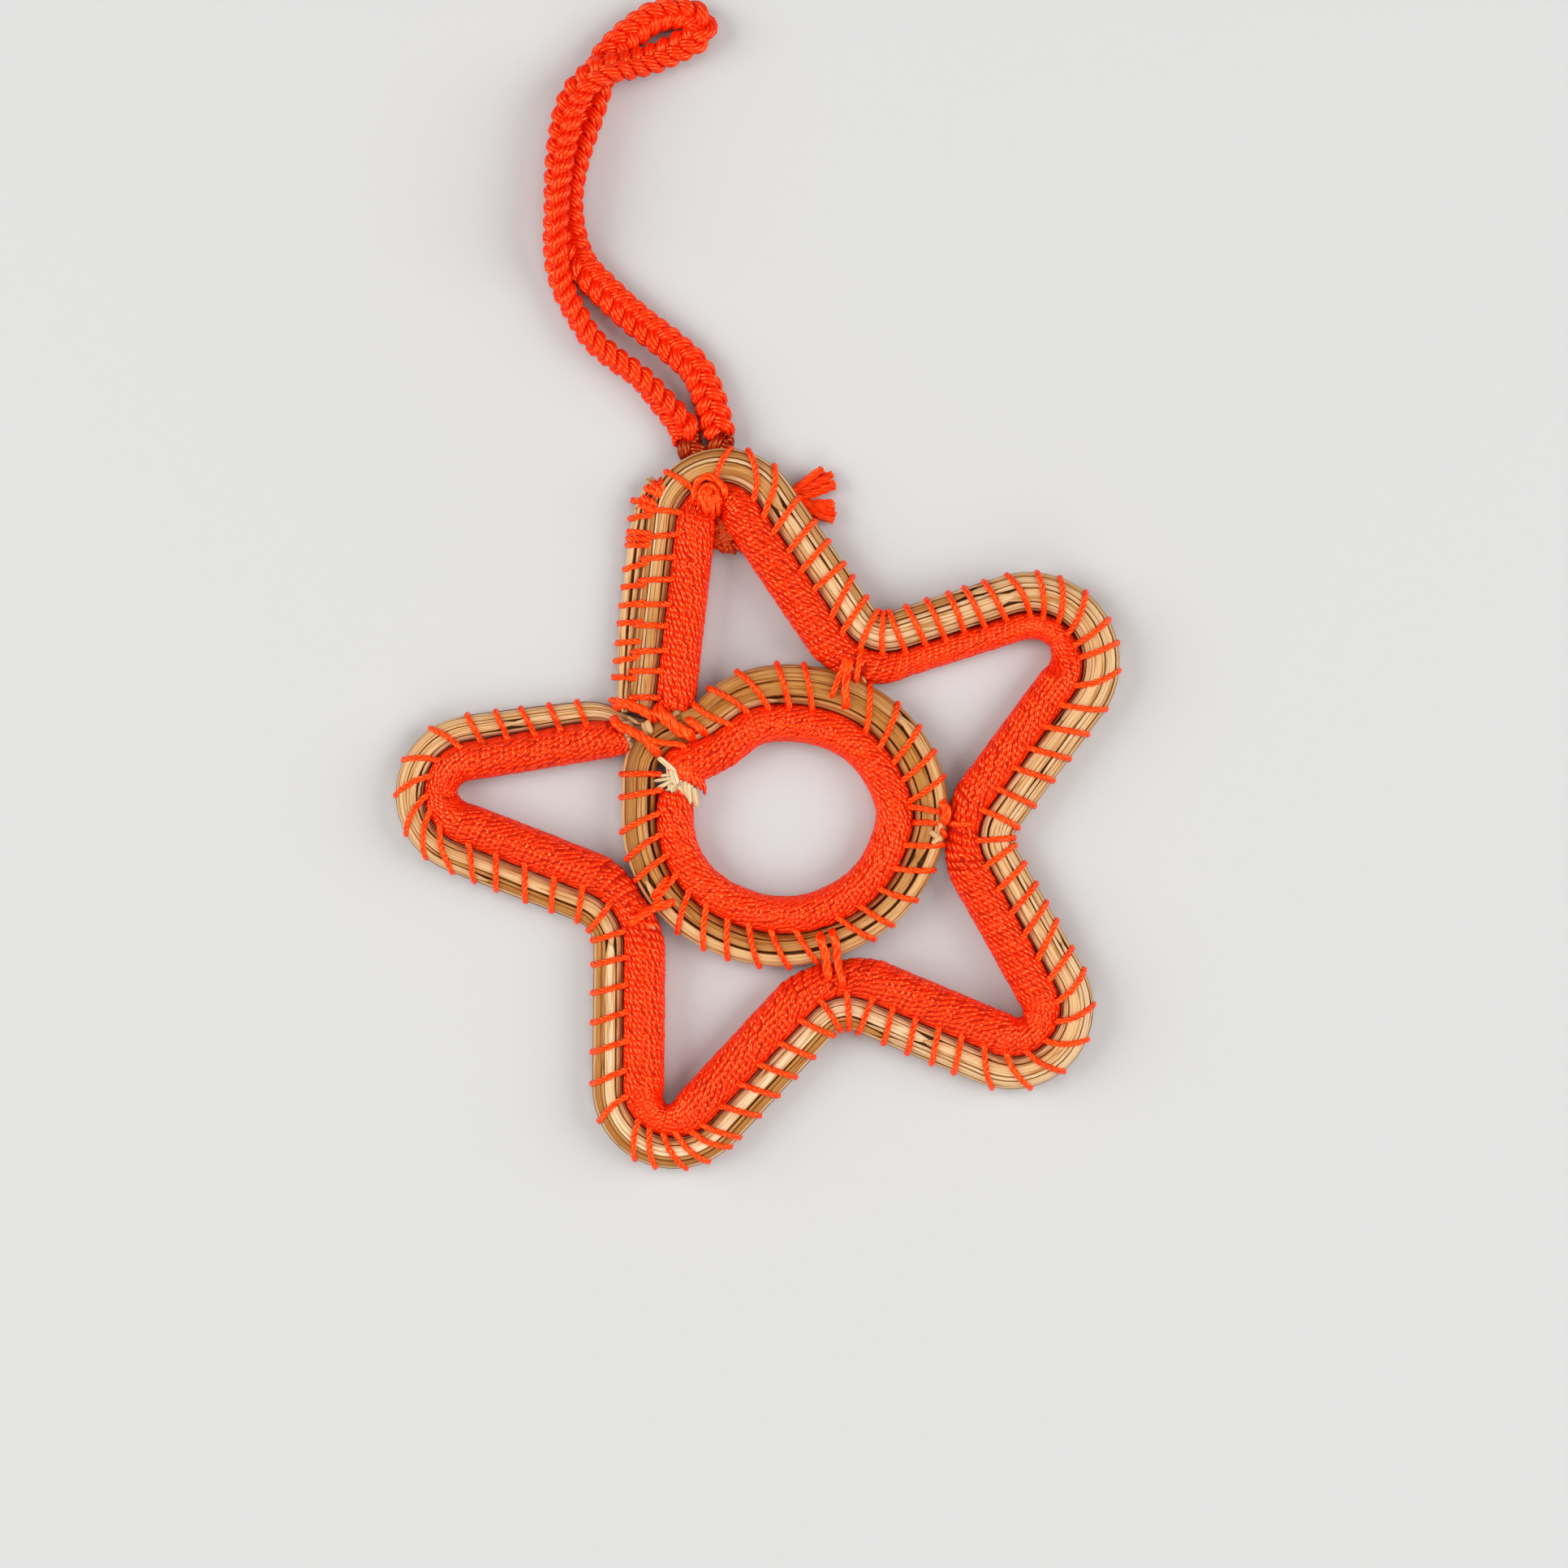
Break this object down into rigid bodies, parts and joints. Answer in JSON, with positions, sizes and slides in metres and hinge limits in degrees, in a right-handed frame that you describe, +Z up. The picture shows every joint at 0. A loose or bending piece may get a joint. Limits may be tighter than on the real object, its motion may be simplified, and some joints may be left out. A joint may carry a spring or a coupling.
{
  "type": "pine needle star ornament",
  "caption": "Star-shaped hanging ornament of coiled pine needle bundles stitched with orange nylon twine, with a ring tied into its middle and a braided hanging loop.",
  "frame": {"origin": "bottom centre of the ornament without its cord, on the ground plane it lies on", "axes": "+Z up, square to the flat star; +Y towards the top point with the hanging cord; +X to the right of it, seen from the front"},
  "size_m": [0.1032, 0.1658, 0.0082],
  "materials": {
    "orange_twine": "glossy twisted nylon twine",
    "braided_cord": "glossy braided nylon",
    "pine_needles": "dry needles with a dull sheen",
    "cut_needles": "pale matte cut ends"
  },
  "bodies": {
    "root": {"star_wrapped_coil": "orange_twine", "star_bare_coil": "pine_needles", "end_binding": "orange_twine", "star_stitching": "orange_twine", "ring_wrapped_coil": "orange_twine", "ring_core_end": "cut_needles", "ring_bare_coil": "pine_needles", "ring_stitching": "orange_twine", "tie_top_left": "orange_twine", "tie_lower_left": "orange_twine", "tie_bottom": "orange_twine", "tie_right": "orange_twine", "tie_top_right": "orange_twine", "hanging_cord": "braided_cord", "cord_knot": "braided_cord", "crown_knot": "orange_twine", "cord_tail_upper": "braided_cord", "cord_tail_lower": "braided_cord"}
  },
  "joints": []
}
